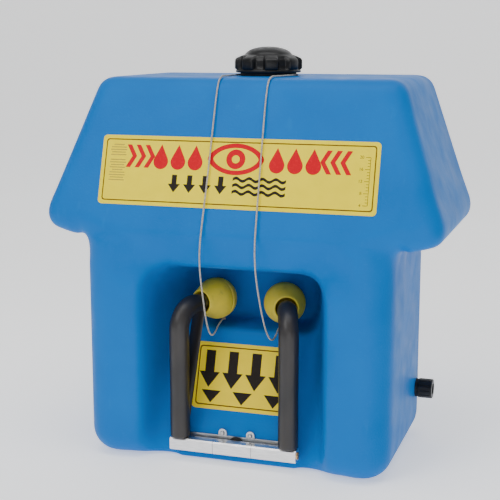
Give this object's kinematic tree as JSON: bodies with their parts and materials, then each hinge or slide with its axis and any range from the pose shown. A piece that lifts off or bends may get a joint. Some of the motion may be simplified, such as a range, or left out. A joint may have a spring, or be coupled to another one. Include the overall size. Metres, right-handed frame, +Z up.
{
  "type": "portable eyewash station",
  "caption": "Portable gravity-fed eyewash: moulded tank with filler cap, a recessed pair of padded swing-down spray arms, tethered ball plugs and a side drain.",
  "frame": {"origin": "on the standing surface, under the middle of the overall box", "axes": "+Z up, front with the arms towards -Y, +X to the right seen from the front"},
  "size_m": [0.6001, 0.3443, 0.6193],
  "materials": {
    "tank_plastic": "satin rotomoulded polyethylene with a fine orange-peel grain",
    "cap_plastic": "satin moulded",
    "fitting_plastic": "moulded nylon",
    "seal_rubber": "matte",
    "front_sticker": "printed vinyl film",
    "pull_sticker": "printed vinyl film",
    "bar_metal": "bright drawn",
    "steel": "stainless",
    "brass_fitting": "machined",
    "foam": null,
    "plug_vinyl": "soft dipped vinyl, satin",
    "cord": "twisted braided nylon"
  },
  "bodies": {
    "tank": {"tank_shell": "tank_plastic", "filler_neck": "fitting_plastic", "front_label": "front_sticker", "pull_label": "pull_sticker", "valve_block": "bar_metal", "bracket_plate": "steel", "bracket_screws": "steel", "outlet_fitting": "brass_fitting", "outlet_spacer": "seal_rubber", "outlet_seal": "seal_rubber", "outlet_nut": "fitting_plastic", "outlet_strainer": "fitting_plastic", "drain_fitting": "fitting_plastic", "drain_seal": "seal_rubber", "drain_nut": "fitting_plastic", "tether_neck_loop": "cord", "tether_neck_knot": "cord", "left_tether_upper": "cord", "right_tether_upper": "cord"},
    "cap_seal": {"cap_gasket": "seal_rubber"},
    "cap": {"fill_cap": "cap_plastic", "cap_vent_disc": "seal_rubber"},
    "arm_assembly": {"flow_shaft": "steel", "shaft_seals": "seal_rubber", "left_swivel": "bar_metal", "left_end_screw": "brass_fitting", "left_arm_pipe": "steel", "left_foam_sleeve": "foam", "left_spray_head": "steel", "left_flow_disc": "steel", "right_swivel": "bar_metal", "right_end_screw": "brass_fitting", "right_arm_pipe": "steel", "right_foam_sleeve": "foam", "right_spray_head": "steel", "right_flow_disc": "steel"},
    "left_plug": {"left_ball_plug": "plug_vinyl", "left_plug_eye": "steel", "left_eye_knot": "cord", "left_tether_loop": "cord"},
    "right_plug": {"right_ball_plug": "plug_vinyl", "right_plug_eye": "steel", "right_eye_knot": "cord", "right_tether_loop": "cord"},
    "drain_washer": {"drain_cap_washer": "seal_rubber"},
    "drain_closure": {"drain_cap": "cap_plastic"}
  },
  "joints": [
    {"name": "arm_fold", "type": "hinge", "parent": "tank", "child": "arm_assembly", "pos_m": [0, -0.147, 0.0275], "axis": [1, 0, 0], "range_deg": [0, 90]},
    {"name": "left_plug_swing", "type": "hinge", "parent": "tank", "child": "left_plug", "pos_m": [0, -0.1005, 0.158], "axis": [1, 0, 0], "range_deg": [0, 156], "deforming": ["left_tether_loop"]},
    {"name": "right_plug_swing", "type": "hinge", "parent": "tank", "child": "right_plug", "pos_m": [0, -0.1005, 0.158], "axis": [1, 0, 0], "range_deg": [0, 156], "deforming": ["right_tether_loop"]},
    {"name": "cap_lift", "type": "slide", "parent": "tank", "child": "cap_seal", "axis": [0, 0, 1], "range_m": [0, 0.018]},
    {"name": "cap_turn", "type": "hinge", "parent": "cap_seal", "child": "cap", "pos_m": [0, 0.025, 0.59], "axis": [0, 0, 1], "range_deg": [0, 1080]},
    {"name": "drain_slide", "type": "slide", "parent": "tank", "child": "drain_washer", "axis": [1, 0, 0], "range_m": [0, 0.018]},
    {"name": "drain_turn", "type": "hinge", "parent": "drain_washer", "child": "drain_closure", "pos_m": [0.25, 0.067, 0.082], "axis": [1, 0, 0], "range_deg": [0, 2160]}
  ],
  "couplings": [
    {"joint": "left_plug_swing", "follows": "arm_fold", "ratio": 1.7333},
    {"joint": "right_plug_swing", "follows": "arm_fold", "ratio": 1.7333},
    {"joint": "cap_lift", "follows": "cap_turn", "m_per_rad": 0.00095493},
    {"joint": "drain_slide", "follows": "drain_turn", "m_per_rad": 0.00047746}
  ]
}
